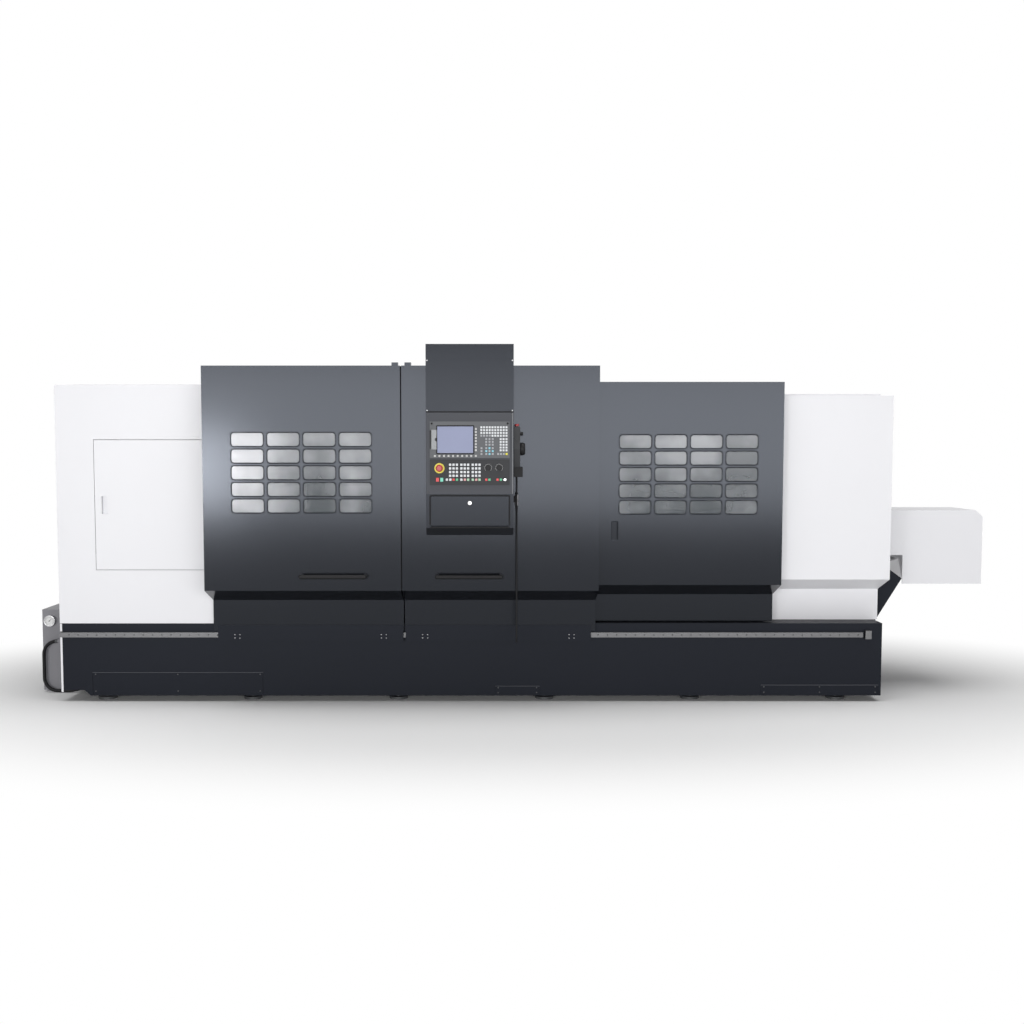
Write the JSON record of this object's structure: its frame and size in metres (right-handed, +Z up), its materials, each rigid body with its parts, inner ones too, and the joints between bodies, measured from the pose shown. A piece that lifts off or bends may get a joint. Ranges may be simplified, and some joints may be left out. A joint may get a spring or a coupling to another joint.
{
  "type": "cnc turning lathe",
  "caption": "Full-enclosure turning lathe with sliding doors, slotted windows, an operator station, a hand-held pulse unit and an inclined chip conveyor.",
  "frame": {"origin": "on the floor under the middle of the machine's box", "axes": "+X along the spindle from the headstock to the tailstock, +Y away from the operator, +Z up"},
  "size_m": [6.348, 2.0347, 2.272],
  "materials": {
    "black_paint": "fine-textured satin",
    "white_paint": "satin",
    "grey_paint": "satin",
    "machined_steel": "machined",
    "dark_steel": "satin",
    "casting": "painted casting",
    "window_pane": "clear",
    "black_rubber": "matte",
    "panel_plastic": "fine grain",
    "screen": "gloss",
    "red_plastic": "gloss",
    "green_plastic": "gloss",
    "dark_plastic": "fine grain"
  },
  "bodies": {
    "frame": {"base_frame": "black_paint", "levelling_feet": "dark_steel", "bed": "casting", "headstock": "casting", "headstock_cabinet": "white_paint", "tail_cover": "white_paint", "rear_enclosure": "white_paint", "door_beam": "dark_steel", "guide_rails": "machined_steel", "conveyor_casing": "dark_steel", "conveyor_head": "grey_paint", "conveyor_motor": "dark_steel", "discharge_hood": "white_paint", "hydraulic_unit": "grey_paint", "pressure_gauge": "machined_steel", "supply_hose": "black_rubber", "spindle_motor": "dark_steel", "feed_motor": "dark_steel", "electrical_cabinet": "white_paint"},
    "left_door": {"left_door": "black_paint", "left_window": "window_pane", "left_handle": "machined_steel", "left_apron": "black_paint"},
    "right_door": {"right_door": "black_paint", "right_handle": "machined_steel", "right_apron": "black_paint", "control_box": "black_paint", "control_box_cap": "black_paint", "operator_plate": "grey_paint", "display_unit": "panel_plastic", "display_screen": "screen", "machine_panel": "panel_plastic", "pendant_holder": "black_rubber", "pendant_body": "panel_plastic", "pendant_cable": "black_rubber"},
    "tail_door": {"tail_door": "black_paint", "tail_window": "window_pane"},
    "electrical_door": {"electrical_door": "white_paint"},
    "access_door": {"access_door": "white_paint"},
    "storage_flap": {"storage_flap": "black_paint"},
    "interface_flap": {"interface_flap": "machined_steel"},
    "emergency_button": {"emergency_button": "red_plastic"},
    "feed_knob": {"feed_knob": "dark_plastic"},
    "spindle_knob": {"spindle_knob": "dark_plastic"},
    "key_switch": {"key_switch": "machined_steel"},
    "cycle_start_button": {"cycle_start_button": "green_plastic"},
    "cycle_stop_button": {"cycle_stop_button": "red_plastic"},
    "pendant_wheel": {"pendant_wheel": "dark_plastic"},
    "pendant_knob": {"pendant_knob": "dark_plastic"},
    "pendant_stop_button": {"pendant_stop_button": "red_plastic"},
    "spindle": {"spindle": "machined_steel"},
    "jaw_a": {"jaw_a": "dark_steel"},
    "jaw_b": {"jaw_b": "dark_steel"},
    "jaw_c": {"jaw_c": "dark_steel"},
    "carriage": {"carriage": "casting"},
    "cross_slide": {"cross_slide": "casting"},
    "tool_turret": {"tool_turret": "dark_steel"},
    "tailstock": {"tailstock": "casting"},
    "quill": {"quill": "machined_steel"},
    "feed_screw": {"feed_screw": "machined_steel"}
  },
  "joints": [
    {"name": "left_door_slide", "type": "slide", "parent": "frame", "child": "left_door", "axis": [-1, 0, 0], "range_m": [0, 0.95]},
    {"name": "right_door_slide", "type": "slide", "parent": "frame", "child": "right_door", "axis": [1, 0, 0], "range_m": [0, 1.16]},
    {"name": "tail_door_slide", "type": "slide", "parent": "frame", "child": "tail_door", "axis": [1, 0, 0], "range_m": [0, 0.65]},
    {"name": "access_door_hinge", "type": "hinge", "parent": "frame", "child": "access_door", "pos_m": [-1.9685, -0.5905, 1.28], "axis": [0, 0, -1], "range_deg": [-90, 0]},
    {"name": "electrical_door_hinge", "type": "hinge", "parent": "frame", "child": "electrical_door", "pos_m": [-2.818, 1.0095, 1], "axis": [0, 0, 1], "range_deg": [0, 110]},
    {"name": "storage_flap_hinge", "type": "hinge", "parent": "right_door", "child": "storage_flap", "pos_m": [-0.275, -0.9775, 1.173], "axis": [1, 0, 0], "range_deg": [0, 90]},
    {"name": "interface_flap_hinge", "type": "hinge", "parent": "right_door", "child": "interface_flap", "pos_m": [-0.5065, -0.9895, 1.7], "axis": [0, 0, -1], "range_deg": [0, 100]},
    {"name": "emergency_button_press", "type": "slide", "parent": "right_door", "child": "emergency_button", "axis": [0, 1, 0], "range_m": [0, 0.006], "stiffness_N_per_m": 600},
    {"name": "feed_knob_turn", "type": "hinge", "parent": "right_door", "child": "feed_knob", "pos_m": [-0.1635, -0.9845, 1.527], "axis": [0, 1, 0], "range_deg": [-135, 135]},
    {"name": "spindle_knob_turn", "type": "hinge", "parent": "right_door", "child": "spindle_knob", "pos_m": [-0.0965, -0.9845, 1.527], "axis": [0, 1, 0], "range_deg": [-135, 135]},
    {"name": "key_switch_turn", "type": "hinge", "parent": "right_door", "child": "key_switch", "pos_m": [-0.0615, -0.9845, 1.4545], "axis": [0, 1, 0], "range_deg": [0, 90]},
    {"name": "cycle_start_press", "type": "slide", "parent": "right_door", "child": "cycle_start_button", "axis": [0, 1, 0], "range_m": [0, 0.003], "stiffness_N_per_m": 300},
    {"name": "cycle_stop_press", "type": "slide", "parent": "right_door", "child": "cycle_stop_button", "axis": [0, 1, 0], "range_m": [0, 0.003], "stiffness_N_per_m": 300},
    {"name": "pendant_wheel_turn", "type": "hinge", "parent": "right_door", "child": "pendant_wheel", "pos_m": [0.031, -0.9175, 1.64], "axis": [1, 0, 0], "continuous": true},
    {"name": "pendant_knob_turn", "type": "hinge", "parent": "right_door", "child": "pendant_knob", "pos_m": [0.031, -0.9175, 1.733], "axis": [1, 0, 0], "range_deg": [-60, 60]},
    {"name": "pendant_stop_press", "type": "slide", "parent": "right_door", "child": "pendant_stop_button", "axis": [0, 0, -1], "range_m": [0, 0.004], "stiffness_N_per_m": 400, "springref_m": -0.002},
    {"name": "spindle_turn", "type": "hinge", "parent": "frame", "child": "spindle", "pos_m": [-1.838, -0.0025, 1.12], "axis": [1, 0, 0], "continuous": true},
    {"name": "jaw_a_slide", "type": "slide", "parent": "spindle", "child": "jaw_a", "axis": [0, 0, 1], "range_m": [-0.03, 0.008]},
    {"name": "jaw_b_slide", "type": "slide", "parent": "spindle", "child": "jaw_b", "axis": [0, -0.866, -0.5], "range_m": [-0.03, 0.008]},
    {"name": "jaw_c_slide", "type": "slide", "parent": "spindle", "child": "jaw_c", "axis": [0, 0.866, -0.5], "range_m": [-0.03, 0.008]},
    {"name": "carriage_slide", "type": "slide", "parent": "frame", "child": "carriage", "axis": [1, 0, 0], "range_m": [-0.85, 0.5]},
    {"name": "cross_slide_travel", "type": "slide", "parent": "carriage", "child": "cross_slide", "axis": [0, 1, 0], "range_m": [-0.12, 0.15]},
    {"name": "turret_index", "type": "hinge", "parent": "cross_slide", "child": "tool_turret", "pos_m": [-0.09, -0.1925, 1.06], "axis": [0, 0, 1], "continuous": true},
    {"name": "tailstock_slide", "type": "slide", "parent": "frame", "child": "tailstock", "axis": [1, 0, 0], "range_m": [-0.3, 0.4]},
    {"name": "quill_slide", "type": "slide", "parent": "tailstock", "child": "quill", "axis": [-1, 0, 0], "range_m": [0, 0.15]},
    {"name": "feed_screw_turn", "type": "hinge", "parent": "frame", "child": "feed_screw", "pos_m": [0.062, -0.3575, 0.76], "axis": [1, 0, 0], "continuous": true}
  ],
  "couplings": [
    {"joint": "jaw_b_slide", "follows": "jaw_a_slide", "ratio": 1},
    {"joint": "jaw_c_slide", "follows": "jaw_a_slide", "ratio": 1},
    {"joint": "feed_screw_turn", "follows": "carriage_slide", "rad_per_m": 523.6}
  ]
}
